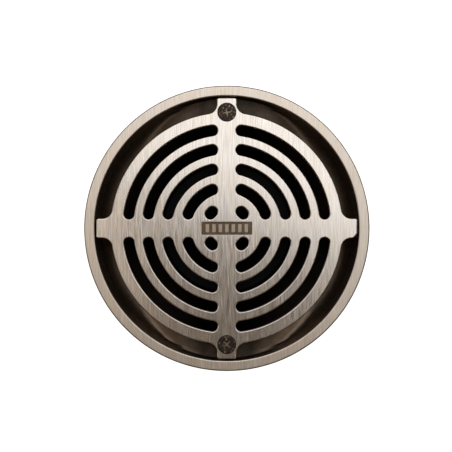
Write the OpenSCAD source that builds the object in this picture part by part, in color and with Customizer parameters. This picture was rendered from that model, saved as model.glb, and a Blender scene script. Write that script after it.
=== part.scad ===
// Round floor drain grate: a cast frame with a threaded neck and a spigot, a slotted grate that
// drops into it on four tabs, two captive screws, a lock ring with its washers, and a foul-air
// trap that lifts out.
// Origin: the middle of the neck's lower end. +Z points up, and the grate's face is on top.

/* [Overall] */
// Height from the neck's lower end to the walking surface
total_h = 84; // [82:0.5:96]

/* [Frame] */
// Outside diameter of the rim
rim_d = 150; // [149.6:0.1:152]
// Inside diameter of the rim at its face
rim_inner_d = 138.9; // [138.5:0.1:140]
// Thickness of the rim where it oversails the bowl
rim_t = 6; // [4:0.5:7]
// Round-over on the rim's outer edges
rim_round = 0.8; // [0.4:0.1:1]
// Round-over on the rim's inner edge
rim_inner_round = 0.7; // [0.5:0.1:1.4]
// Depth of the bowl from the walking surface to the neck's mouth
bowl_depth = 26; // [25:0.5:28]
// Inside radius of the bowl's rounded side
bowl_round = 8; // [7:0.5:9]
// How far the raised ground beside the screw lugs lies under the walking surface
saddle_drop = 10; // [9.5:0.5:12]
// Wall thickness of the casting
wall = 3.5; // [3:0.1:4]
// Major diameter of the neck's 2 1/2 inch pipe thread
neck_d = 75.184; // [75.184:0.001:75.184]
// Bore of the neck
bore_d = 66; // [66:0.1:66.4]
// Outside diameter of the plain spigot under the thread
spigot_d = 72; // [71.6:0.1:72.2]
// Length of the spigot
spigot_l = 18; // [14:0.5:18]

/* [Grate] */
// Diameter of the slotted disc
disc_d = 121.9; // [121:0.1:122.4]
// Thickness of the grate
grate_t = 5.5; // [5:0.1:6]
// Width of a tab
tab_w = 10.4; // [10.2:0.1:11]
// Distance from the centre to a tab's tip
tab_reach = 68.5; // [67.5:0.05:68.6]
// Fillet between a tab and the disc
tab_fillet = 5.3; // [4.5:0.1:5.8]
// Corner that is ground off the east tab
ground_corner = 2.2; // [1:0.1:2.4]
// Width of a slot
slot_w = 5.5; // [5:0.1:5.8]
// Radius of the innermost slot's centre line
slot_first_r = 11.5; // [11:0.1:12]
// Spacing of the slots
slot_pitch = 10.1; // [9.8:0.1:10.2]
// Slots in each quarter
slot_count = 5; // [3:1:5]
// Width of the four solid spokes
spoke_w = 9.6; // [9:0.1:10]
// Length of the sunk plate in the middle
plate_l = 26.5; // [25:0.5:28]
// Width of the sunk plate in the middle
plate_w = 6.7; // [6:0.1:7]
// Depth of the sunk plate
plate_depth = 0.6; // [0.4:0.1:0.8]
// Raised plain bars on the sunk plate
plate_bars = 7; // [5:1:7]

/* [Screws] */
// Radius of the circle that the screws stand on
screw_circle_r = 61; // [60.5:0.1:61.5]
// Nominal diameter of the screws
screw_d = 5; // [5:0.1:5]
// Length of a screw with its head
screw_l = 16; // [15.8:0.1:16.2]
// Diameter of a screw's countersunk head
screw_head_d = 9.3; // [9.1:0.1:9.4]
// How far a head sits below the grate's face
screw_sink = 0.25; // [0.25:0.05:0.4]
// Thickness of a captive ring
captive_t = 1; // [0.8:0.1:1.2]

/* [Neck fittings] */
// Thickness of the rubber seal washer
seal_t = 3; // [2:0.5:4]
// Thickness of the slip washer
slip_t = 1.5; // [1:0.1:2]
// Height of the lock ring
lock_h = 10; // [8:0.5:12]
// Outside diameter of the washers and of the lock ring's body
washer_d = 92; // [90:1:94]
// Grip lugs round the lock ring
lock_lugs = 8; // [6:1:10]

/* [Foul-air trap] */
// Wall thickness of the trap's mouldings
trap_wall = 2; // [1.6:0.1:2.2]
// Outside diameter of the dip tube
tube_d = 25; // [24:0.5:26]
// Height of the dip tube's lower end
tube_end = 12; // [10:0.5:14]
// Outside diameter of the water cup
cup_d = 58; // [57:0.5:58]
// Height of the cup's floor
cup_base = 5; // [5:0.5:7]
// Height of the cup's brim
cup_brim = 36; // [34:0.5:36]

/* [Hidden] */
$fn = 96;
eps = 0.01;
quarter_turns = [0, 90, 180, 270];

// Frame
rim_r = rim_d / 2;
rim_inner_r = rim_inner_d / 2;
neck_r = neck_d / 2;
bore_r = bore_d / 2;
mouth_z = total_h - bowl_depth;
mouth_chamfer = 2;
shoulder_z = mouth_z - 6;
shoulder_r = washer_d / 2 + 2;
spigot_r = spigot_d / 2;
lead_in = 1;
seat_z = total_h - grate_t;
bowl_centre_r = rim_inner_r - 1.4 - bowl_round;
bowl_centre_z = seat_z - 7.3;
bowl_skin = bowl_round + wall;
bowl_outer_r = bowl_centre_r + bowl_skin;
floor_angle = 78;
floor_edge_r = bowl_centre_r + bowl_round * cos(floor_angle);
floor_edge_z = bowl_centre_z - bowl_round * sin(floor_angle);
floor_slope = (floor_edge_z - mouth_z) / (floor_edge_r - bore_r - mouth_chamfer);
floor_drop = wall * sqrt(1 + floor_slope * floor_slope);

// Lugs and screws
lug_w = 10.2;
lug_inset = 0.5;
lug_foot_z = bowl_centre_z - (bowl_skin - lug_inset) * sin(floor_angle);
saddle_round = 90;
saddle_inner_r = 57.5;
captive_bore_r = 3.9;
captive_bore_depth = 6.5;
captive_z = seat_z - captive_bore_depth;
thread_bottom_z = captive_z - 7;
fit_gap = 0.05;
screw_r = screw_d / 2;
head_r = screw_head_d / 2;
head_top_z = total_h - screw_sink;
hole_r = screw_r + 0.2;
countersink_r = head_r + fit_gap + screw_sink;
recess_l = 5;
recess_w = 1.15;
recess_depth = 1.9;

// Grate
tab_corner = 1.1;
bar_w = 2;
bar_pitch = 3.4;
bar_l = 4.4;
bar_gap = 0.15;

// Neck fittings
washer_r = washer_d / 2;
seal_z = shoulder_z - seal_t;
slip_z = seal_z - slip_t;
lock_z = slip_z - lock_h;
lock_lug_w = 9;
lock_lug_r = washer_r + 5;
lock_chamfer = 1;

// Trap
trap_gap = 0.1;
trap_r = bore_r - trap_gap;
sleeve_inner_r = trap_r - 3.6;
sleeve_foot_z = shoulder_z - 6;
lip_r = bore_r + 1.5;
lip_t = 1.4;
groove_z = sleeve_foot_z + 1.5;
groove_h = 2.3;
groove_r = trap_r - 2;
ring_section_r = 1;
tube_r = tube_d / 2;
funnel_throat_z = mouth_z - 17;
funnel_edge_z = mouth_z - 6;
skirt_r = 26;
skirt_foot_z = cup_brim + 2;
hook_lip_t = 1.6;
hook_lip_r = 26.7;
hook_angle = 20;
hook_pass_angle = 28;
cup_r = cup_d / 2;
cup_inner_r = cup_r - 1.6;
leg_top_z = skirt_foot_z + 6;
hook_z = skirt_foot_z + hook_lip_t + 0.2;
hook_t = 1.8;
hook_inner_r = skirt_r + 0.2;
handle_w = 3;
handle_h = 5;

// Points of an arc in a profile
function arc(r, z, radius, from, to, steps = 8) =
  [for (i = [0:steps]) let (a = from + (to - from) * i / steps)
    [r + radius * cos(a), z + radius * sin(a)]];

// A ring sector, from one radius to another, centred on an angle
module sector(inner_r, outer_r, z, h, angle, middle) {
  rotate([0, 0, middle - angle / 2])
    rotate_extrude(angle = angle)
      translate([inner_r, z]) square([outer_r - inner_r, h]);
}

// A flat ring
module ring(inner_r, outer_r, z, h) {
  translate([0, 0, z]) difference() {
    cylinder(r = outer_r, h = h);
    translate([0, 0, -eps]) cylinder(r = inner_r, h = h + 2 * eps);
  }
}

// The casting's section: the neck, the bowl's floor and wall, and the rim
module frame_section() {
  polygon(concat(
    [[bore_r, 0], [spigot_r - lead_in, 0], [spigot_r, lead_in], [spigot_r, spigot_l]],
    [[neck_r, spigot_l + neck_r - spigot_r], [neck_r, shoulder_z], [shoulder_r, shoulder_z]],
    [[shoulder_r, mouth_z + floor_slope * (shoulder_r - bore_r - mouth_chamfer) - floor_drop]],
    [[floor_edge_r, floor_edge_z - floor_drop]],
    arc(bowl_centre_r, bowl_centre_z, bowl_skin, -floor_angle, 0, 12),
    [[bowl_outer_r, total_h - rim_t], [rim_r - rim_round, total_h - rim_t]],
    arc(rim_r - rim_round, total_h - rim_t + rim_round, rim_round, -90, 0, 4),
    arc(rim_r - rim_round, total_h - rim_round, rim_round, 0, 90, 6),
    arc(rim_inner_r + rim_inner_round, total_h - rim_inner_round, rim_inner_round, 90, 180, 6),
    [[rim_inner_r, seat_z - 1]],
    arc(bowl_centre_r, bowl_centre_z, bowl_round, 0, -floor_angle, 12),
    [[bore_r + mouth_chamfer, mouth_z], [bore_r, mouth_z - mouth_chamfer]]
  ));
}

// The space inside the casting's outer skin, which the lugs and the raised ground keep to
module inside_skin() {
  rotate_extrude($fn = 180) polygon(concat(
    [[0, lug_foot_z]],
    arc(bowl_centre_r, bowl_centre_z, bowl_skin - lug_inset, -floor_angle, 0, 12),
    [[bowl_outer_r - lug_inset, seat_z], [0, seat_z]]
  ));
}

// A lug that carries one tab
module lug() {
  intersection() {
    union() {
      translate([0, screw_circle_r, mouth_z]) cylinder(d = lug_w, h = seat_z - mouth_z);
      translate([-lug_w / 2, screw_circle_r, mouth_z])
        cube([lug_w, bowl_outer_r - screw_circle_r, seat_z - mouth_z]);
    }
    inside_skin();
  }
}

// The raised ground on both sides of the two screw lugs, crowned along the line between them
module saddles() {
  intersection() {
    translate([0, 0, total_h - saddle_drop - saddle_round]) rotate([90, 0, 0])
      cylinder(r = saddle_round, h = rim_d, center = true, $fn = 180);
    difference() {
      inside_skin();
      cylinder(r = saddle_inner_r, h = total_h);
    }
  }
}

// The tapped hole in a lug, with the wider bore above it for the captive ring
module lug_hole() {
  translate([0, screw_circle_r, thread_bottom_z])
    cylinder(r = screw_r + fit_gap, h = captive_z - thread_bottom_z + eps);
  translate([0, screw_circle_r, captive_z])
    cylinder(r = captive_bore_r, h = captive_bore_depth + eps);
}

module frame() {
  color([0.62, 0.57, 0.52]) difference() {
    union() {
      rotate_extrude($fn = 180) frame_section();
      for (a = quarter_turns) rotate([0, 0, a]) lug();
      saddles();
    }
    for (a = [0, 180]) rotate([0, 0, a]) lug_hole();
  }
}

// One tab with its fillets, pointing along +Y
module tab_outline() {
  fillet_x = tab_w / 2 + tab_fillet;
  fillet_y = sqrt(pow(disc_d / 2 + tab_fillet, 2) - pow(fillet_x, 2));
  translate([-tab_w / 2, 0]) square([tab_w, tab_reach - tab_corner]);
  translate([tab_corner - tab_w / 2, 0]) square([tab_w - 2 * tab_corner, tab_reach]);
  for (side = [-1, 1]) {
    translate([side * (tab_w / 2 - tab_corner), tab_reach - tab_corner])
      circle(r = tab_corner, $fn = 32);
    difference() {
      polygon([[0, 0], [side * tab_w / 2, fillet_y], [side * fillet_x, fillet_y]]);
      translate([side * fillet_x, fillet_y]) circle(r = tab_fillet);
    }
  }
}

module grate_outline() {
  difference() {
    union() {
      circle(d = disc_d, $fn = 180);
      for (a = quarter_turns) rotate(a) tab_outline();
    }
    polygon([
      [tab_reach + 1, -tab_w / 2 + ground_corner + 1],
      [tab_reach - ground_corner - 1, -tab_w / 2 - 1],
      [tab_reach + 1, -tab_w / 2 - 1]
    ]);
  }
}

// One slot through the grate, in the first quarter
module slot(radius) {
  end_angle = asin((spoke_w / 2 + slot_w / 2) / radius);
  sector(radius - slot_w / 2, radius + slot_w / 2, seat_z - 1, grate_t + 2,
    90 - 2 * end_angle, 45);
  for (a = [end_angle, 90 - end_angle])
    rotate([0, 0, a]) translate([radius, 0, seat_z - 1]) cylinder(d = slot_w, h = grate_t + 2);
}

// The countersunk hole for a screw
module countersunk_hole() {
  translate([0, screw_circle_r, seat_z - eps]) cylinder(r = hole_r, h = grate_t);
  translate([0, screw_circle_r, total_h - countersink_r])
    cylinder(r1 = 0, r2 = countersink_r + eps, h = countersink_r + eps);
}

module grate() {
  color([0.72, 0.68, 0.62]) {
    difference() {
      translate([0, 0, seat_z]) linear_extrude(grate_t) grate_outline();
      for (a = quarter_turns, i = [0:slot_count - 1])
        rotate([0, 0, a]) slot(slot_first_r + i * slot_pitch);
      for (a = [0, 180]) rotate([0, 0, a]) countersunk_hole();
      translate([-plate_l / 2, -plate_w / 2, total_h - plate_depth])
        cube([plate_l, plate_w, plate_depth + 1]);
    }
    for (i = [0:plate_bars - 1])
      translate([(i - (plate_bars - 1) / 2) * bar_pitch - bar_w / 2, -bar_l / 2, seat_z + 1])
        cube([bar_w, bar_l, grate_t - 1 - bar_gap]);
  }
}

// A countersunk screw with a cross recess
module screw() {
  color([0.2, 0.18, 0.17]) translate([0, screw_circle_r, 0]) difference() {
    union() {
      translate([0, 0, head_top_z - screw_l]) cylinder(r = screw_r, h = screw_l - 1);
      translate([0, 0, head_top_z - head_r + screw_r])
        cylinder(r1 = screw_r, r2 = head_r, h = head_r - screw_r);
    }
    for (a = [45, 135])
      translate([0, 0, head_top_z - recess_depth / 2 + eps]) rotate([0, 0, a])
        cube([recess_l, recess_w, recess_depth + 2 * eps], center = true);
  }
}

module screw_north() {
  screw();
}

module screw_south() {
  rotate([0, 0, 180]) screw();
}

// The ring on a screw's shank that keeps it with the grate
module captive_ring() {
  color([0.85, 0.85, 0.8]) translate([0, screw_circle_r, 0])
    ring(screw_r + fit_gap, captive_bore_r - 0.15, captive_z, captive_t);
}

module captive_ring_north() {
  captive_ring();
}

module captive_ring_south() {
  rotate([0, 0, 180]) captive_ring();
}

module seal_washer() {
  color([0.1, 0.1, 0.1]) ring(neck_r + 0.02, washer_r + 0.5, seal_z, seal_t);
}

module slip_washer() {
  color([0.9, 0.9, 0.86]) ring(neck_r + fit_gap, washer_r, slip_z, slip_t);
}

// The ring nut under the washers, with grip lugs for a strap or pin wrench
module lock_ring() {
  color([0.72, 0.55, 0.25]) difference() {
    union() {
      rotate_extrude($fn = 180) polygon([
        [neck_r - 1, lock_z], [washer_r - lock_chamfer, lock_z],
        [washer_r, lock_z + lock_chamfer], [washer_r, lock_z + lock_h - lock_chamfer],
        [washer_r - lock_chamfer, lock_z + lock_h], [neck_r - 1, lock_z + lock_h]
      ]);
      for (i = [0:lock_lugs - 1]) rotate([0, 0, (i + 0.5) * 360 / lock_lugs])
        translate([washer_r - 1, -lock_lug_w / 2, lock_z + lock_chamfer])
          cube([lock_lug_r - washer_r + 1, lock_lug_w, lock_h - 2 * lock_chamfer]);
    }
    translate([0, 0, lock_z - eps]) cylinder(r = neck_r + fit_gap, h = lock_h + 2 * eps);
  }
}

// The trap's upper moulding: the sleeve in the neck, the funnel, the dip tube and the skirt
// whose lip the cup hooks on
module trap_funnel() {
  tube_inner_r = tube_r - trap_wall;
  funnel_slope = (funnel_edge_z - funnel_throat_z) / (sleeve_inner_r - tube_inner_r);
  skirt_top_z = funnel_throat_z - trap_wall / 2
    + funnel_slope * (skirt_r - trap_wall - tube_inner_r);
  color([0.08, 0.08, 0.08]) {
    rotate_extrude() polygon([
      [tube_inner_r, tube_end], [tube_r, tube_end], [tube_r, funnel_throat_z - trap_wall],
      [sleeve_inner_r, sleeve_foot_z], [trap_r, sleeve_foot_z], [trap_r, groove_z],
      [groove_r, groove_z], [groove_r, groove_z + groove_h], [trap_r, groove_z + groove_h],
      [trap_r, mouth_z - mouth_chamfer], [lip_r, mouth_z - mouth_chamfer + lip_r - trap_r],
      [lip_r, mouth_z + lip_t - 0.8], [lip_r - 0.8, mouth_z + lip_t],
      [sleeve_inner_r + 0.5, mouth_z + lip_t], [sleeve_inner_r, mouth_z + lip_t - 0.5],
      [sleeve_inner_r, funnel_edge_z], [tube_inner_r, funnel_throat_z]
    ]);
    ring(skirt_r - trap_wall, skirt_r, skirt_foot_z, skirt_top_z - skirt_foot_z);
    for (a = [0, 120, 240])
      sector(skirt_r - 1, hook_lip_r, skirt_foot_z, hook_lip_t, 120 - hook_pass_angle, a);
    translate([-sleeve_inner_r - 0.5, -handle_w / 2, mouth_z - handle_h])
      cube([2 * sleeve_inner_r + 1, handle_w, handle_h]);
  }
}

module trap_seal() {
  color([0.05, 0.05, 0.05]) rotate_extrude()
    translate([groove_r + 0.02 + ring_section_r, groove_z + groove_h / 2])
      circle(r = ring_section_r - 0.03, $fn = 32);
}

// The trap's water cup, which hangs from the skirt's lip on three hooked legs
module trap_cup() {
  color([0.12, 0.12, 0.13]) {
    difference() {
      translate([0, 0, cup_base]) cylinder(r = cup_r, h = leg_top_z - cup_base);
      translate([0, 0, cup_base + trap_wall]) cylinder(r = cup_inner_r, h = total_h);
      for (a = [60, 180, 300])
        sector(cup_inner_r - 1, cup_r + 1, cup_brim, total_h, 120 - hook_angle, a);
    }
    for (a = [0, 120, 240])
      sector(hook_inner_r, cup_inner_r + 0.5, hook_z, hook_t, hook_angle - 2, a);
  }
}

frame();
grate();
screw_north();
screw_south();
captive_ring_north();
captive_ring_south();
seal_washer();
slip_washer();
lock_ring();
trap_funnel();
trap_seal();
trap_cup();
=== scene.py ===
import math

import bmesh
import bpy
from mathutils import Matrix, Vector
from mathutils.geometry import delaunay_2d_cdt


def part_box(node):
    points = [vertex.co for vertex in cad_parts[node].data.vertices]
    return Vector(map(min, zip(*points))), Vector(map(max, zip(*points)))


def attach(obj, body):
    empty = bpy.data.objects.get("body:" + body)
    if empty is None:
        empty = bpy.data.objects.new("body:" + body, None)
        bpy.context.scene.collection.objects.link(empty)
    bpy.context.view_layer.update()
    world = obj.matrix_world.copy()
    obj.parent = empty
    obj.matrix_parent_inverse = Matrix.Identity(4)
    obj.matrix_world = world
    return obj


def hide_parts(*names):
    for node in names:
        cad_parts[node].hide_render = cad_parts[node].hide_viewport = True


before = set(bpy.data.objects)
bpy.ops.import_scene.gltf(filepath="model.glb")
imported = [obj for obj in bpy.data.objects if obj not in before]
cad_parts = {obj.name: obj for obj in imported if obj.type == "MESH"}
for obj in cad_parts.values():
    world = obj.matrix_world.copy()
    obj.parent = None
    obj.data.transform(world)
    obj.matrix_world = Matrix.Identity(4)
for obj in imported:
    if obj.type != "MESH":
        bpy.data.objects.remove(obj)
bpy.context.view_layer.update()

# ---------------------------------------------------------------- sizes, in metres

MM = 0.001
TOP_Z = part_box("frame")[1][2]
RIM_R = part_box("frame")[1][0]
SEAT_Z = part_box("grate")[0][2]
TAB_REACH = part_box("grate")[1][1]
SHOULDER_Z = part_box("seal_washer")[1][2]

# the frame's section
RIM_INNER_R = 69.45 * MM
RIM_T = 6 * MM
RIM_ROUND = 0.8 * MM
RIM_INNER_ROUND = 0.7 * MM
WALL = 3.5 * MM
BORE_R = 33 * MM
NECK_R = 37.592 * MM
THREAD_PITCH = 2.309 * MM
THREAD_DEPTH = 1.479 * MM
SPIGOT_R = 36 * MM
SPIGOT_L = 18 * MM
LEAD_IN = 1 * MM
MOUTH_Z = TOP_Z - 26 * MM
MOUTH_CHAMFER = 2 * MM
SHOULDER_R = 48 * MM
BOWL_ROUND = 8 * MM
BOWL_SKIN = BOWL_ROUND + WALL
BOWL_CENTRE_R = RIM_INNER_R - 1.4 * MM - BOWL_ROUND
BOWL_CENTRE_Z = SEAT_Z - 7.3 * MM
BOWL_OUTER_R = BOWL_CENTRE_R + BOWL_SKIN
FLOOR_ANGLE = 78
FLOOR_EDGE_R = BOWL_CENTRE_R + BOWL_ROUND * math.cos(math.radians(FLOOR_ANGLE))
FLOOR_EDGE_Z = BOWL_CENTRE_Z - BOWL_ROUND * math.sin(math.radians(FLOOR_ANGLE))
LUG_W = 10.2 * MM
LUG_INSET = 0.5 * MM
SADDLE_TOP_Z = TOP_Z - 10 * MM
SADDLE_R = 90 * MM
SADDLE_INNER_R = 57.5 * MM
SADDLE_BLEND = 3 * MM
SADDLE_HALF_ANGLE = 50
LUG_SHADE_R = 55 * MM
# painted shade in the bowl: black within the first radius and clear by the second, then darker along
# the screws' line between the distances across it below
UNDER_GRATE_SHADE = (57 * MM, 61.5 * MM)
SCREW_LINE_SHADE = (13 * MM, 36 * MM)
CAPTIVE_BORE_R = 3.9 * MM
CAPTIVE_BORE_DEPTH = 6.5 * MM
TAP_DEPTH = 7 * MM

# the grate
DISC_R = 60.95 * MM
TAB_W = 10.4 * MM
TAB_FILLET = 5.3 * MM
TAB_CORNER = 1.1 * MM
GROUND_CORNER = 2.2 * MM
SLOT_W = 5.5 * MM
SLOT_FIRST_R = 11.5 * MM
SLOT_PITCH = 10.1 * MM
SLOT_COUNT = 5
SPOKE_W = 9.6 * MM
PLATE_L = 26.5 * MM
PLATE_W = 6.7 * MM
PLATE_DEPTH = 0.6 * MM
PLATE_BARS = 7
BAR_W = 2 * MM
BAR_L = 4.4 * MM
BAR_PITCH = 3.4 * MM
EDGE_ROUND = 0.55 * MM
FOOT_ROUND = 0.3 * MM

# the screws
SCREW_CIRCLE_R = 61 * MM
SCREW_R = 2.5 * MM
SCREW_PITCH = 0.8 * MM
SCREW_THREAD_DEPTH = 0.45 * MM
HEAD_R = 4.65 * MM
SCREW_SINK = 0.25 * MM
SCREW_L = 16 * MM
HOLE_R = 2.7 * MM
COUNTERSINK_R = 4.9 * MM

# the flat strip beside a rounded edge, and the softened edge of small details
SUPPORT = 0.08 * MM
SOFT_EDGE = 0.12 * MM


# ---------------------------------------------------------------- outlines and shells

def arc(cx, cy, radius, start, end, step=0.5 * MM, last=True):
    """Points of an arc, from one angle to the other, in degrees."""
    count = max(3, math.ceil(abs(math.radians(end - start)) * radius / step))
    stop = count + 1 if last else count
    angles = [math.radians(start + (end - start) * i / count) for i in range(stop)]
    return [(cx + radius * math.cos(a), cy + radius * math.sin(a)) for a in angles]


def turned(points, degrees):
    """Points turned about the origin."""
    c, s = math.cos(math.radians(degrees)), math.sin(math.radians(degrees))
    return [(x * c - y * s, x * s + y * c) for x, y in points]


def moved(points, dx, dy):
    return [(x + dx, y + dy) for x, y in points]


def without_repeats(points):
    """The outline with neighbouring points that fall together taken out."""
    kept = []
    for p in points:
        if not kept or math.dist(p, kept[-1]) > 0.01 * MM:
            kept.append(p)
    if math.dist(kept[0], kept[-1]) < 0.01 * MM:
        kept.pop()
    return kept


def rounded_rectangle(length, width, radius):
    x, y = length / 2 - radius, width / 2 - radius
    step = radius * 0.5
    return (arc(x, y, radius, 0, 90, step) + arc(-x, y, radius, 90, 180, step)
            + arc(-x, -y, radius, 180, 270, step) + arc(x, -y, radius, 270, 360, step))


def side_normals(points):
    """Unit normals on the right-hand side of the way the outline runs."""
    normals = []
    for i, (x, y) in enumerate(points):
        (ax, ay), (bx, by) = points[i - 1], points[(i + 1) % len(points)]
        before = Vector((x - ax, y - ay)).normalized()
        after = Vector((bx - x, by - y)).normalized()
        along = (before + after).normalized()
        miter = 1 / max(0.5, along.dot(after))
        normals.append((along.y * miter, -along.x * miter))
    return normals


def wall_rings(bm, points, profile):
    """Rings of vertices down a wall. The solid is on the outline's left, and the profile lists
    how far each ring stands inside the solid, with its height. Returns the first and last ring."""
    normals = side_normals(points)
    rings = []
    for inset, z in profile:
        rings.append([bm.verts.new((x - nx * inset, y - ny * inset, z))
                      for (x, y), (nx, ny) in zip(points, normals)])
    join_rings(bm, rings)
    return rings[0], rings[-1]


def join_rings(bm, rings):
    for upper, lower in zip(rings, rings[1:]):
        for i in range(len(upper)):
            j = (i + 1) % len(upper)
            bm.faces.new((upper[i], lower[i], lower[j], upper[j]))


def cap(bm, loops, up=True):
    """Fills the space between the first ring and the rings inside it with flat triangles."""
    flat, faces, verts = [], [], []
    for k, loop in enumerate(loops):
        area = sum(a.co.x * b.co.y - b.co.x * a.co.y for a, b in zip(loop, loop[1:] + loop[:1]))
        ordered = loop if (area > 0) == (k == 0) else loop[::-1]
        faces.append(list(range(len(verts), len(verts) + len(ordered))))
        verts += ordered
        flat += [Vector((v.co.x / MM, v.co.y / MM)) for v in ordered]
    filled = delaunay_2d_cdt(flat, [], faces, 2, 1e-6)
    source = [ids[0] for ids in filled[3]]
    for face in filled[2]:
        corners = [verts[source[i]] for i in face]
        bm.faces.new(corners if up else corners[::-1])


def edge_profile(top_z, foot_z, top_round, foot_round, steps=5):
    """A wall's profile with a rounded top and foot edge, and a narrow flat strip at each end."""
    profile = [(top_round + SUPPORT, top_z)]
    for i in range(steps + 1):
        a = math.pi / 2 * i / steps
        profile.append((top_round * (1 - math.sin(a)), top_z - top_round * (1 - math.cos(a))))
    for i in range(steps + 1):
        a = math.pi / 2 * i / steps
        profile.append((foot_round * (1 - math.cos(a)), foot_z + foot_round * (1 - math.sin(a))))
    profile.append((foot_round + SUPPORT, foot_z))
    return profile


def finish_mesh(name, bm, sharp_degrees=40):
    """Turns a bmesh into an object with smooth faces and sharp edges past an angle."""
    bmesh.ops.remove_doubles(bm, verts=bm.verts, dist=0.0005 * MM)
    bmesh.ops.recalc_face_normals(bm, faces=bm.faces)
    mesh = bpy.data.meshes.new(name)
    bm.to_mesh(mesh)
    bm.free()
    smoothed(mesh, sharp_degrees)
    return linked(name, mesh)


def smoothed(mesh, sharp_degrees=40):
    """Smooth faces, with the edges past an angle kept sharp."""
    mesh.polygons.foreach_set("use_smooth", [True] * len(mesh.polygons))
    mesh.set_sharp_from_angle(angle=math.radians(sharp_degrees))


def linked(name, data):
    """A new object of the scene that shows this mesh, light or camera."""
    thing = bpy.data.objects.new(name, data)
    bpy.context.scene.collection.objects.link(thing)
    return thing


def paint(piece, materials, choose=None):
    """Gives a piece its materials. choose(centre, normal) picks one for each face."""
    piece.data.materials.clear()
    for material in materials:
        piece.data.materials.append(material)
    if choose:
        for face in piece.data.polygons:
            face.material_index = choose(face.center, face.normal)


def stands_for(piece, node, body):
    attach(piece, body)
    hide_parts(node)


# ---------------------------------------------------------------- turned shapes

def thread_radius(major, depth, pitch, z, angle, start, end):
    """Radius of a right-hand thread with rounded crests and roots, which fades at both ends."""
    phase = (z / pitch - angle / math.tau) % 1.0
    ridge = abs(2 * phase - 1)
    ridge = ridge * ridge * (3 - 2 * ridge)
    fade = min(1, (z - start) / pitch, (end - z) / (0.5 * pitch))
    return major - depth * (1 - ridge) * max(0, fade)


def turned_rings(bm, rows, segments):
    """Rings of a turned shape. A row is a radius and a height, or a function of the angle."""
    rings = []
    for radius, z in rows:
        ring = []
        for i in range(segments):
            a = math.tau * i / segments
            r = radius(a) if callable(radius) else radius
            ring.append(bm.verts.new((r * math.cos(a), r * math.sin(a), z)))
        rings.append(ring)
    return rings


def thread_rows(major, depth, pitch, start, end, rows_per_turn=8):
    """Rows of a thread, from its top down."""
    count = math.ceil((end - start) / pitch * rows_per_turn)
    rows = []
    for i in range(count + 1):
        z = end - (end - start) * i / count
        rows.append((lambda a, z=z: thread_radius(major, depth, pitch, z, a, start, end), z))
    return rows


# ---------------------------------------------------------------- materials

class Nodes:
    """A short way to write a node tree: each call adds a node and links its inputs."""

    def __init__(self, material):
        material.use_nodes = True
        self.tree = material.node_tree
        self.shader = self.tree.nodes["Principled BSDF"]
        self.place = self.add("ShaderNodeTexCoord").outputs["Object"]

    def add(self, kind, inputs=(), **settings):
        node = self.tree.nodes.new(kind)
        for key, value in settings.items():
            setattr(node, key, value)
        for key, value in dict(inputs).items():
            self.feed(node.inputs[key], value)
        return node

    def feed(self, socket, value):
        if isinstance(value, bpy.types.NodeSocket):
            self.tree.links.new(value, socket)
        else:
            socket.default_value = value

    def scaled(self, x, y, z):
        return self.add("ShaderNodeMapping", {"Vector": self.place, "Scale": (x, y, z)}).outputs[0]

    def noise(self, vector, scale=1.0, detail=2.0, roughness=0.5):
        return self.add("ShaderNodeTexNoise", {
            "Vector": vector, "Scale": scale, "Detail": detail, "Roughness": roughness,
        }).outputs["Fac"]

    def spread(self, value, low, high, out_low, out_high):
        return self.add("ShaderNodeMapRange", {
            "Value": value, "From Min": low, "From Max": high, "To Min": out_low, "To Max": out_high,
        }).outputs[0]

    def sum(self, a, b, how="ADD"):
        return self.add("ShaderNodeMath", {0: a, 1: b}, operation=how).outputs[0]

    def tint(self, colour, factor):
        """The colour times a grey factor."""
        if not isinstance(colour, bpy.types.NodeSocket):
            colour = colour[:3]
        node = self.add("ShaderNodeVectorMath", {0: colour, "Scale": factor}, operation="SCALE")
        return node.outputs[0]

    def mix(self, factor, a, b):
        node = self.add("ShaderNodeMix", data_type="RGBA")
        self.feed(node.inputs["Factor"], factor)
        self.feed(node.inputs[6], a)
        self.feed(node.inputs[7], b)
        return node.outputs[2]

    def bump(self, height, distance, strength=1.0):
        return self.add("ShaderNodeBump", {
            "Height": height, "Distance": distance, "Strength": strength,
        }).outputs[0]

    def surface(self, **inputs):
        for key, value in inputs.items():
            name = key.replace("_", " ").title().replace("Ior", "IOR")
            self.feed(self.shader.inputs[name], value)


def linished(name, tone, rough, stretch, contrast):
    """Bronze ground with a belt: straight fine lines along Y."""
    material = bpy.data.materials.new(name)
    n = Nodes(material)
    fine = n.noise(n.scaled(2600, 95, 95), detail=2)
    coarse = n.noise(n.scaled(1150, 60, 60), detail=2)
    broad = n.noise(n.scaled(330, 26, 26), detail=2)
    lines = n.sum(n.sum(n.sum(fine, 0.5, "MULTIPLY"), n.sum(coarse, 0.36, "MULTIPLY")),
                  n.sum(broad, 0.14, "MULTIPLY"))
    shade = n.spread(lines, 0.38, 0.62, 1 - contrast, 1 + contrast)
    stain = n.noise(n.scaled(90, 60, 60), detail=3)
    warm = tuple(c * w for c, w in zip(tone, (0.99, 0.965, 0.93))) + (1.0,)
    colour = n.mix(n.spread(stain, 0.4, 0.62, 0, 1), tone + (1.0,), warm)
    n.surface(base_color=n.tint(colour, shade), metallic=1.0,
              roughness=n.spread(lines, 0.38, 0.62, rough - 0.02, rough + 0.03),
              anisotropic=stretch, normal=n.bump(lines, 0.006 * MM, 0.2))
    across = n.add("ShaderNodeCombineXYZ", {0: 1.0})
    n.feed(n.shader.inputs["Tangent"], across.outputs[0])
    return material


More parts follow.
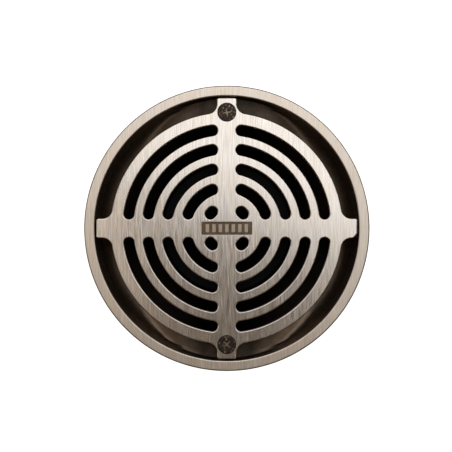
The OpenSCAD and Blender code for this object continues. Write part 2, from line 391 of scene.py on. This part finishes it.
def as_cast(name, tone, rough, grain=0.05 * MM, painted_shade_inside=None):
    """The sand-cast skin of the bronze: dark, mottled and fine-grained. Given a pair of radii, it
    paints shade into a bowl under a grate: black within the first radius, clearing by the second,
    and also painted darker towards the line of the screws, as shade beside the tabs."""
    material = bpy.data.materials.new(name)
    n = Nodes(material)
    grit = n.noise(n.scaled(1, 1, 1), scale=1700, detail=4)
    patch = n.noise(n.scaled(1, 1, 1), scale=240, detail=5)
    darker = tuple(c * 0.82 for c in tone) + (1.0,)
    colour = n.mix(n.spread(patch, 0.35, 0.65, 0, 1), tone + (1.0,), darker)
    colour = n.tint(colour, n.spread(grit, 0.3, 0.7, 0.85, 1.15))
    if painted_shade_inside:
        # painted shade: black under the grate, clearing outwards, and darker towards the line of the
        # screws
        flat = n.add("ShaderNodeVectorMath", {0: n.place, 1: (1, 1, 0)}, operation="MULTIPLY")
        radius = n.add("ShaderNodeVectorMath", {0: flat.outputs[0]}, operation="LENGTH")
        colour = n.tint(colour, n.spread(radius.outputs["Value"], *painted_shade_inside, 0.04, 1))
        across = n.add("ShaderNodeSeparateXYZ", {0: n.place}).outputs["X"]
        across = n.add("ShaderNodeMath", {0: across}, operation="ABSOLUTE").outputs[0]
        colour = n.tint(colour, n.spread(across, *SCREW_LINE_SHADE, 0.15, 0.9))
    n.surface(base_color=colour, metallic=1.0,
              roughness=n.spread(patch, 0.3, 0.7, rough - 0.03, rough + 0.05),
              normal=n.bump(n.sum(grit, patch), grain, 0.6))
    return material


def turned_metal(name, tone, rough):
    """Lathe-cut metal: fine rings round Z, with a little tarnish."""
    material = bpy.data.materials.new(name)
    n = Nodes(material)
    lines = n.noise(n.scaled(6, 6, 5200), detail=2)
    tarnish = n.noise(n.scaled(1, 1, 1), scale=210, detail=4)
    dull = tuple(c * w for c, w in zip(tone, (0.62, 0.55, 0.48))) + (1.0,)
    colour = n.mix(n.spread(tarnish, 0.4, 0.7, 0, 0.45), tone + (1.0,), dull)
    n.surface(base_color=n.tint(colour, n.spread(lines, 0.3, 0.7, 0.92, 1.06)), metallic=1.0,
              roughness=n.spread(tarnish, 0.3, 0.7, rough - 0.03, rough + 0.06),
              normal=n.bump(lines, 0.02 * MM, 0.4))
    return material


def darkened_steel(name, tone, worn, rough):
    """Dark-finished screw steel with rubbed spots."""
    material = bpy.data.materials.new(name)
    n = Nodes(material)
    rub = n.noise(n.scaled(1, 1, 1), scale=900, detail=4)
    fine = n.noise(n.scaled(1, 1, 1), scale=3000, detail=3)
    colour = n.mix(n.spread(rub, 0.56, 0.7, 0, 0.8), tone + (1.0,), worn + (1.0,))
    n.surface(base_color=colour, metallic=1.0,
              roughness=n.spread(fine, 0.3, 0.7, rough - 0.08, rough + 0.1),
              normal=n.bump(fine, 0.02 * MM, 0.5))
    return material


def moulded(name, tone, rough, grain, gloss=0.5):
    """Moulded plastic or rubber with a fine grain."""
    material = bpy.data.materials.new(name)
    n = Nodes(material)
    grit = n.noise(n.scaled(1, 1, 1), scale=2300, detail=3)
    patch = n.noise(n.scaled(1, 1, 1), scale=90, detail=3)
    n.surface(base_color=n.tint(tone + (1.0,), n.spread(patch, 0.3, 0.7, 0.88, 1.12)),
              roughness=n.spread(grit, 0.3, 0.7, rough - 0.06, rough + 0.06),
              specular_ior_level=gloss, normal=n.bump(grit, grain, 0.6))
    return material


GRATE_FACE = linished("grate_face", (0.80, 0.76, 0.72), 0.19, 0.4, 0.15)
RIM_FACE = linished("rim_face", (0.80, 0.735, 0.66), 0.33, 0.3, 0.13)
BAR_FACE = linished("bar_face", (0.47, 0.395, 0.315), 0.32, 0.3, 0.12)
# the bowl's colour carries painted shade: black under the grate and darker beside the tabs
CAST_DARK = as_cast("cast_bowl", (0.44, 0.345, 0.265), 0.42, painted_shade_inside=UNDER_GRATE_SHADE)
CAST_WALL = as_cast("cast_walls", (0.24, 0.205, 0.17), 0.42, 0.03 * MM)
# near-black painted shade for the countersinks, the sunk plate's walls and the lug tops under the tabs
PAINTED_SHADE = as_cast("painted_shade", (0.05, 0.042, 0.035), 0.6, 0.03 * MM)
# painted shade: a dark line on the rim's rounded outer edge, in place of the dark reflection there
RIM_EDGE_SHADE = as_cast("rim_edge_painted_shade", (0.24, 0.215, 0.19), 0.42, 0.03 * MM)
CAST_SKIN = as_cast("cast_skin", (0.36, 0.315, 0.265), 0.5, 0.12 * MM)
PLATE_FLOOR = as_cast("plate_floor", (0.21, 0.165, 0.12), 0.5, 0.03 * MM)
THREAD_CUT = turned_metal("cut_thread", (0.58, 0.51, 0.42), 0.3)
LOCK_BRASS = turned_metal("lock_brass", (0.68, 0.48, 0.20), 0.32)
SCREW_STEEL = darkened_steel("screw_steel", (0.050, 0.038, 0.030), (0.46, 0.40, 0.33), 0.42)
# the cross recess's lighter tone is a painted highlight for its glinting facets, with rubbed spots of
# wear over it
SCREW_RECESS_WEAR_AND_HIGHLIGHT = darkened_steel("screw_recess_wear_and_painted_highlight", (0.30, 0.25, 0.19), (0.7, 0.62, 0.5), 0.38)
BLACK_RUBBER = moulded("black_rubber", (0.022, 0.022, 0.023), 0.6, 0.02 * MM, 0.35)
WHITE_PLASTIC = moulded("white_polythene", (0.80, 0.79, 0.74), 0.42, 0.01 * MM)
BLACK_PLASTIC = moulded("black_polypropylene", (0.007, 0.007, 0.0075), 0.5, 0.02 * MM, 0.12)


# ---------------------------------------------------------------- the grate

def grate_outline():
    """The disc and its four tabs, anticlockwise."""
    fillet_x = TAB_W / 2 + TAB_FILLET
    fillet_y = math.sqrt((DISC_R + TAB_FILLET) ** 2 - fillet_x ** 2)
    lean = math.degrees(math.atan2(fillet_y, fillet_x))
    points = []
    for quarter in (-90, 0, 90, 180):
        corner_x, corner_y = TAB_W / 2 - TAB_CORNER, TAB_REACH - TAB_CORNER
        right_corner = arc(corner_x, corner_y, TAB_CORNER, 0, 90, 0.2 * MM)
        if quarter == -90:
            right_corner = ground_corner()
        tab = (arc(fillet_x, fillet_y, TAB_FILLET, 180 + lean, 180)
               + right_corner
               + arc(-corner_x, corner_y, TAB_CORNER, 90, 180, 0.2 * MM)
               + arc(-fillet_x, fillet_y, TAB_FILLET, 0, -lean)
               + arc(0, 0, DISC_R, 180 - lean, 90 + lean)[1:-1])
        points += turned(tab, quarter)
    return without_repeats(points)


def ground_corner():
    """A tab's right corner, ground to a slant with softened ends."""
    x, y, g, soft = TAB_W / 2, TAB_REACH, GROUND_CORNER, 0.4 * MM
    return [(x, y - g - soft), (x - 0.3 * soft, y - g + 0.2 * soft), (x - g * 0.5, y - g * 0.5),
            (x - g - 0.2 * soft, y - 0.3 * soft), (x - g - soft, y)]


def slot_outline(radius):
    """One slot in the first quarter, anticlockwise."""
    first = math.degrees(math.asin((SPOKE_W / 2 + SLOT_W / 2) / radius))
    last, half = 90 - first, SLOT_W / 2
    (ax, ay), = turned([(radius, 0)], first)
    (bx, by), = turned([(radius, 0)], last)
    return without_repeats(
        arc(0, 0, radius + half, first, last)
        + arc(bx, by, half, last, last + 180, 0.4 * MM)
        + arc(0, 0, radius - half, last, first)
        + arc(ax, ay, half, first - 180, first, 0.4 * MM))


def sunk_plate(bm):
    """The sunk plate with its raised plain bars. Returns the ring at the face."""
    floor_z = TOP_Z - PLATE_DEPTH
    rim = without_repeats(rounded_rectangle(PLATE_L, PLATE_W, 0.45 * MM)[::-1])
    face, floor = wall_rings(bm, rim, [
        (SOFT_EDGE + SUPPORT, TOP_Z), (SOFT_EDGE, TOP_Z),
        (0.35 * SOFT_EDGE, TOP_Z - 0.35 * SOFT_EDGE), (0, TOP_Z - SOFT_EDGE),
        (-0.1 * MM, floor_z)])
    loops = [floor]
    for i in range(PLATE_BARS):
        shift = (i - (PLATE_BARS - 1) / 2) * BAR_PITCH
        bar = moved(without_repeats(rounded_rectangle(BAR_W, BAR_L, 0.35 * MM)), shift, 0)
        bar_top = TOP_Z - 0.15 * MM
        top, foot = wall_rings(bm, bar, [
            (0.2 * MM, bar_top), (0.12 * MM, bar_top), (0.03 * MM, bar_top - 0.04 * MM),
            (0, bar_top - 0.12 * MM), (-0.08 * MM, floor_z)])
        cap(bm, [top])
        loops.append(foot)
    cap(bm, loops)
    return face


def make_grate():
    bm = bmesh.new()
    wall = edge_profile(TOP_Z, SEAT_Z, EDGE_ROUND, FOOT_ROUND)
    tops, feet = [], []
    top, foot = wall_rings(bm, grate_outline(), wall)
    tops.append(top)
    feet.append(foot)
    for quarter in (0, 90, 180, 270):
        for i in range(SLOT_COUNT):
            slot = turned(slot_outline(SLOT_FIRST_R + i * SLOT_PITCH), quarter)
            top, foot = wall_rings(bm, slot[::-1], wall)
            tops.append(top)
            feet.append(foot)
    flare = COUNTERSINK_R - HOLE_R
    for side in (1, -1):
        hole = without_repeats(arc(0, side * SCREW_CIRCLE_R, HOLE_R, 360, 0, 0.25 * MM))
        top, foot = wall_rings(bm, hole, [
            (flare + SOFT_EDGE + SUPPORT, TOP_Z), (flare + SOFT_EDGE, TOP_Z),
            (flare, TOP_Z - SOFT_EDGE),
            (0.05 * MM, TOP_Z - flare), (0, TOP_Z - flare - 0.1 * MM),
            (0, SEAT_Z + 0.1 * MM), (0.1 * MM, SEAT_Z)])
        tops.append(top)
        feet.append(foot)
    tops.append(sunk_plate(bm))
    cap(bm, tops)
    cap(bm, feet, up=False)
    piece = finish_mesh("grate_casting", bm)

    def choose(centre, normal):
        # painted shade in the countersinks round the screw heads
        if math.hypot(centre.x, abs(centre.y) - SCREW_CIRCLE_R) < COUNTERSINK_R:
            return 4
        in_plate = abs(centre.x) < PLATE_L / 2 and abs(centre.y) < PLATE_W / 2
        if in_plate and centre.z < TOP_Z - 0.01 * MM:
            # painted shade on the sunk plate's walls
            if normal.z < 0.7:
                return 4
            return 3 if centre.z > TOP_Z - 0.5 * PLATE_DEPTH else 2
        if centre.z > TOP_Z - 0.9 * EDGE_ROUND:
            return 0
        return 1

    paint(piece, [GRATE_FACE, CAST_WALL, PLATE_FLOOR, BAR_FACE, PAINTED_SHADE], choose)
    stands_for(piece, "grate", "grate")
    return piece


# ---------------------------------------------------------------- the frame

def frame_rows():
    """The casting's section, from the mouth up over the rim and down the outside to the bore."""
    slope = (FLOOR_EDGE_Z - MOUTH_Z) / (FLOOR_EDGE_R - BORE_R - MOUTH_CHAMFER)
    drop = WALL * math.sqrt(1 + slope * slope)
    hub_z = MOUTH_Z + slope * (SHOULDER_R - BORE_R - MOUTH_CHAMFER) - drop
    face_in = RIM_INNER_R + RIM_INNER_ROUND
    face_out = RIM_R - RIM_ROUND
    rim_foot = TOP_Z - RIM_T
    inner = [(BORE_R, MOUTH_Z - MOUTH_CHAMFER), (BORE_R + MOUTH_CHAMFER, MOUTH_Z)]
    inner += arc(BOWL_CENTRE_R, BOWL_CENTRE_Z, BOWL_ROUND, -FLOOR_ANGLE, 0)
    inner += arc(RIM_INNER_R - 2.5 * MM, SEAT_Z - 1.2 * MM, 2.5 * MM, -12, 0)
    inner += arc(face_in, TOP_Z - RIM_INNER_ROUND, RIM_INNER_ROUND, 180, 90, 0.2 * MM)
    top = [(face_in + SUPPORT, TOP_Z), (face_out - SUPPORT, TOP_Z)]
    outer = arc(face_out, TOP_Z - RIM_ROUND, RIM_ROUND, 90, 0, 0.15 * MM)
    outer += arc(face_out, rim_foot + RIM_ROUND, RIM_ROUND, 0, -90, 0.2 * MM)
    outer += [(BOWL_OUTER_R + 0.6 * MM, rim_foot), (BOWL_OUTER_R + 0.15 * MM, rim_foot - 0.2 * MM)]
    outer += [(BOWL_OUTER_R, rim_foot - 0.6 * MM)]
    outer += arc(BOWL_CENTRE_R, BOWL_CENTRE_Z, BOWL_SKIN, 0, -FLOOR_ANGLE, 0.8 * MM)
    outer += [(SHOULDER_R + 1.5 * MM, hub_z + 1.5 * MM * slope), (SHOULDER_R + 0.3 * MM, hub_z)]
    outer += [(SHOULDER_R, hub_z - 0.8 * MM), (SHOULDER_R, SHOULDER_Z + 0.3 * MM)]
    outer += [(SHOULDER_R - 0.3 * MM, SHOULDER_Z), (NECK_R + 0.1 * MM, SHOULDER_Z)]
    cone = NECK_R - SPIGOT_R
    thread = thread_rows(NECK_R, THREAD_DEPTH, THREAD_PITCH, SPIGOT_L + cone, SHOULDER_Z - SUPPORT)
    spigot = [(SPIGOT_R, SPIGOT_L), (SPIGOT_R, LEAD_IN), (SPIGOT_R - LEAD_IN, 0)]
    bore = [(BORE_R + 0.4 * MM, 0), (BORE_R, 0.4 * MM)]
    return inner + top + outer + thread + spigot + bore


def block(bm, points, foot_z, top_z, top_round=0.3 * MM):
    top, foot = wall_rings(bm, points, edge_profile(top_z, foot_z, top_round, 0.05 * MM, 3))
    cap(bm, [top])
    cap(bm, [foot], up=False)


def inside_skin():
    """The space inside the casting's skin, which the lugs are trimmed to."""
    bm = bmesh.new()
    side = arc(BOWL_CENTRE_R, BOWL_CENTRE_Z, BOWL_SKIN - LUG_INSET, -FLOOR_ANGLE, 0)
    rings = turned_rings(bm, side + [(side[-1][0], SEAT_Z + 1 * MM)], 256)
    join_rings(bm, rings)
    bm.faces.new(rings[0])
    bm.faces.new(rings[-1][::-1])
    return finish_mesh("skin_tool", bm)


def lug_solids():
    """The four lugs under the tabs, which run into the bowl's wall and floor."""
    bm = bmesh.new()
    half = LUG_W / 2
    reach = BOWL_OUTER_R
    outline = without_repeats([(half, reach), (-half, reach)]
                              + arc(0, SCREW_CIRCLE_R, half, 180, 360))
    for quarter in (0, 90, 180, 270):
        block(bm, turned(outline, quarter), FLOOR_EDGE_Z - WALL, SEAT_Z)
    lugs = finish_mesh("lug_tool", bm)
    combined(lugs, [(inside_skin(), "INTERSECT")])
    return lugs


def blended(a, b, width):
    """The larger of two heights, with a fillet where they cross."""
    return max(a, b) + max(0, width - abs(a - b)) ** 2 / (4 * width)


def saddle_section(bm, angle, steps=14):
    """One slice of the saddle: over its ground from the inner edge out, and back along its foot."""
    skin = BOWL_ROUND + 0.5 * WALL
    outer_r = BOWL_CENTRE_R + skin
    top, foot = [], []
    for j in range(steps + 1):
        r = SADDLE_INNER_R + (outer_r - SADDLE_INNER_R) * j / steps
        x, y = r * math.cos(angle), r * math.sin(angle)
        out = max(0, r - BOWL_CENTRE_R)
        low = BOWL_CENTRE_Z - math.sqrt(max(0, skin * skin - out * out))
        bowl = BOWL_CENTRE_Z - math.sqrt(max(0, BOWL_ROUND * BOWL_ROUND - out * out))
        crown = SADDLE_TOP_Z - SADDLE_R + math.sqrt(SADDLE_R ** 2 - x * x)
        ground = blended(crown, bowl, SADDLE_BLEND) - 0.03 * MM
        top.append(bm.verts.new((x, y, max(ground, low + 0.2 * MM))))
        foot.append(bm.verts.new((x, y, low)))
    return top + foot[::-1]


def saddle_solids():
    """The raised ground on both sides of the north and south lugs, crowned under the tab."""
    bm = bmesh.new()
    slices = 64
    for middle in (90, 270):
        sections = []
        for i in range(slices + 1):
            a = math.radians(middle - SADDLE_HALF_ANGLE + 2 * SADDLE_HALF_ANGLE * i / slices)
            sections.append(saddle_section(bm, a))
        for one, other in zip(sections, sections[1:]):
            for j in range(len(one)):
                k = (j + 1) % len(one)
                bm.faces.new((one[j], one[k], other[k], other[j]))
        bm.faces.new(sections[0])
        bm.faces.new(sections[-1][::-1])
    return finish_mesh("saddle_tool", bm)


def lug_hole_solids():
    """The tapped holes in the north and south lugs, with the captive rings' bores above."""
    bm = bmesh.new()
    captive_z = SEAT_Z - CAPTIVE_BORE_DEPTH
    rows = [(CAPTIVE_BORE_R, SEAT_Z + 1 * MM), (CAPTIVE_BORE_R, captive_z),
            (SCREW_R + 0.05 * MM, captive_z), (SCREW_R + 0.05 * MM, captive_z - TAP_DEPTH)]
    for side in (1, -1):
        rings = turned_rings(bm, rows, 64)
        for v in [v for ring in rings for v in ring]:
            v.co.y += side * SCREW_CIRCLE_R
        join_rings(bm, rings)
        bm.faces.new(rings[0])
        bm.faces.new(rings[-1][::-1])
    return finish_mesh("hole_tool", bm)


def combined(piece, tools):
    """The piece's mesh after booleans with each tool. The tools are taken away."""
    for tool, how in tools:
        step = piece.modifiers.new(how, "BOOLEAN")
        step.object = tool
        step.operation = how
        step.solver = "EXACT"
    evaluated = piece.evaluated_get(bpy.context.evaluated_depsgraph_get())
    mesh = bpy.data.meshes.new_from_object(evaluated)
    piece.modifiers.clear()
    piece.data = mesh
    for tool, _ in tools:
        bpy.data.objects.remove(tool)
    smoothed(mesh)


def make_frame():
    bm = bmesh.new()
    rings = turned_rings(bm, frame_rows(), 256)
    join_rings(bm, rings + rings[:1])
    piece = finish_mesh("frame_casting", bm)
    combined(piece, [(saddle_solids(), "UNION"), (lug_solids(), "UNION"),
                     (lug_hole_solids(), "DIFFERENCE")])

    def choose(centre, normal):
        radius = math.hypot(centre.x, centre.y)
        # painted shade on the rim's rounded outer edge, in place of its dark reflection
        if radius > RIM_R - 0.62 * RIM_ROUND:
            return 4
        if centre.z > TOP_Z - 0.8 * RIM_INNER_ROUND and radius > RIM_INNER_R:
            return 0
        inside = radius < BOWL_OUTER_R - 0.5 * MM
        beside = min(abs(centre.x), abs(centre.y)) < LUG_W / 2 + 0.1 * MM
        over_saddle = SADDLE_TOP_Z + 0.5 * MM < centre.z < SEAT_Z + 0.1 * MM
        # painted shade on the lug tops under the tabs
        if inside and beside and over_saddle and radius > LUG_SHADE_R:
            return 5
        if radius < BOWL_OUTER_R - 0.3 * MM and centre.z > MOUTH_Z - MOUTH_CHAMFER:
            return 2 if normal.z < -0.1 and radius > SHOULDER_R else 1
        if radius < BORE_R + 1 * MM and centre.z > 1 * MM:
            return 1
        if centre.z < SHOULDER_Z + 0.1 * MM:
            return 3
        return 2

    paint(piece, [RIM_FACE, CAST_DARK, CAST_SKIN, THREAD_CUT, RIM_EDGE_SHADE, PAINTED_SHADE], choose)
    stands_for(piece, "frame", "frame")
    return piece


# ---------------------------------------------------------------- the screws

def cross_outline(reach, half, notch):
    """A cross recess with a small square notch between its wings, anticlockwise."""
    quarter = [(reach, -half), (reach, half), (half + notch, half), (half + notch, half + notch),
               (half, half + notch)]
    points = []
    for angle in (0, 90, 180, 270):
        points += turned(quarter, angle)
    return without_repeats(points)


def make_screw(side, y, cross_angle):
    """A countersunk cross-recess screw with tick marks between the wings, and its thread."""
    top = TOP_Z - SCREW_SINK
    tip = top - SCREW_L
    bm = bmesh.new()
    rows = [(HEAD_R - 0.35 * MM, top), (HEAD_R - 0.25 * MM, top), (HEAD_R - 0.08 * MM, top - 0.05 * MM),
            (HEAD_R, top - 0.2 * MM), (SCREW_R, top - HEAD_R + SCREW_R - 0.05 * MM)]
    rows += thread_rows(SCREW_R, SCREW_THREAD_DEPTH, SCREW_PITCH, tip + 0.5 * MM, top - 5 * MM, 10)
    rows += [(SCREW_R - 0.6 * MM, tip)]
    rings = turned_rings(bm, rows, 72)
    join_rings(bm, rings)
    bm.faces.new(rings[-1][::-1])
    loops = [rings[0]]
    cross = turned(cross_outline(2.35 * MM, 0.5 * MM, 0.22 * MM), cross_angle)[::-1]
    mouth, floor = wall_rings(bm, cross, [
        (0.1 * MM, top), (0.06 * MM, top - 0.01 * MM), (0, top - 0.08 * MM),
        (-0.22 * MM, top - 1.5 * MM)])
    loops.append(mouth)
    cap(bm, [floor])
    for i in range(4):
        tick = moved(without_repeats(rounded_rectangle(1.3 * MM, 0.28 * MM, 0.1 * MM)), 3.1 * MM, 0)
        tick = turned(tick, cross_angle + 45 + 90 * i)[::-1]
        mouth, floor = wall_rings(bm, tick, [(0.03 * MM, top), (0, top - 0.04 * MM),
                                             (-0.04 * MM, top - 0.14 * MM)])
        loops.append(mouth)
        cap(bm, [floor])
    cap(bm, loops)
    for v in bm.verts:
        v.co.y += y
    piece = finish_mesh(f"screw_{side}_detail", bm, 32)

    def choose(centre, normal):
        radius = math.hypot(centre.x, centre.y - y)
        # painted highlight: the cross recess is lighter, for its glinting facets, with wear spots
        if radius < 2.6 * MM and top - 1.6 * MM < centre.z < top - 0.02 * MM:
            return 1
        return 0

    paint(piece, [SCREW_STEEL, SCREW_RECESS_WEAR_AND_HIGHLIGHT], choose)
    stands_for(piece, f"screw_{side}", f"screw_{side}")


make_grate()
make_frame()
make_screw("north", SCREW_CIRCLE_R, 10)
make_screw("south", -SCREW_CIRCLE_R, 45)

for node, material in {
    "captive_ring_north": WHITE_PLASTIC, "captive_ring_south": WHITE_PLASTIC,
    "seal_washer": BLACK_RUBBER, "slip_washer": WHITE_PLASTIC, "lock_ring": LOCK_BRASS,
    "trap_funnel": BLACK_PLASTIC, "trap_seal": BLACK_RUBBER, "trap_cup": BLACK_PLASTIC,
}.items():
    paint(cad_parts[node], [material])


# ---------------------------------------------------------------- floor, light and camera

def make_floor():
    mesh = bpy.data.meshes.new("floor")
    half = 4.0
    mesh.from_pydata([(-half, -half, 0), (half, -half, 0), (half, half, 0), (-half, half, 0)],
                     [], [(0, 1, 2, 3)])
    floor = linked("floor", mesh)
    material = bpy.data.materials.new("pale_floor")
    material.use_nodes = True
    shader = material.node_tree.nodes["Principled BSDF"]
    shader.inputs["Base Color"].default_value = (0.85, 0.85, 0.85, 1)
    shader.inputs["Roughness"].default_value = 0.9
    shader.inputs["Emission Color"].default_value = (1, 1, 1, 1)
    shader.inputs["Emission Strength"].default_value = 1.0
    floor.data.materials.append(material)


PANEL_Z = 1.15


def area_light(name, size_x, size_y, radiance, colour):
    """A soft rectangular light of a given brightness, which faces straight down."""
    light = bpy.data.lights.new(name, "AREA")
    light.shape = "RECTANGLE"
    light.size, light.size_y = size_x, size_y
    light.energy = radiance * math.pi * size_x * size_y
    light.color = colour
    return linked(name, light)


def panel(name, x_range, y_range, radiance, colour, turn=0):
    """An overhead panel. turn is the angle about its middle, in degrees."""
    lamp = area_light(name, x_range[1] - x_range[0], y_range[1] - y_range[0], radiance, colour)
    lamp.location = (sum(x_range) / 2, sum(y_range) / 2, PANEL_Z)
    lamp.rotation_euler = (0, 0, math.radians(turn))


def side_panel(name, x, y, width, height, radiance, colour):
    """An upright panel on the left that faces the drain."""
    lamp = area_light(name, height, width, radiance, colour)
    lamp.location = (x, y, TOP_Z + 0.12 + height / 2)
    lamp.rotation_euler = (0, math.radians(-90), 0)


def make_light():
    panel("north_panel", (-0.55, 0.60), (0.045, 1.147), 1.18, (1, 0.995, 0.985), -20)
    panel("north_east_panel", (0.80, 1.40), (0.16, 1.0), 1.3, (1, 0.98, 0.95))
    panel("east_panel", (0.17, 0.40), (-0.22, -0.03), 0.9, (1, 0.93, 0.84))
    panel("west_panel", (-0.62, -0.14), (-0.15, 0.06), 0.95, (1, 0.87, 0.74))
    side_panel("west_side_panel", -1.3, 0.25, 0.9, 0.9, 0.9, (1, 0.97, 0.93))
    world = bpy.data.worlds.new("studio")
    world.use_nodes = True
    world.node_tree.nodes["Background"].inputs["Color"].default_value = (1, 0.70, 0.46, 1)
    world.node_tree.nodes["Background"].inputs["Strength"].default_value = 0.07
    bpy.context.scene.world = world
    bpy.context.scene.view_settings.view_transform = "Standard"


def make_camera():
    """Straight above the rim, far enough for the view across it to be 237 mm wide."""
    distance, view_width = 0.9, 0.2372
    camera = bpy.data.cameras.new("camera")
    camera.sensor_width = 36
    camera.lens = camera.sensor_width * distance / view_width
    camera.clip_start, camera.clip_end = 0.01, 20
    seat = linked("camera", camera)
    seat.location = (-0.44 * MM, 1.25 * MM, TOP_Z + distance)
    bpy.context.scene.camera = seat


make_floor()
make_light()
make_camera()
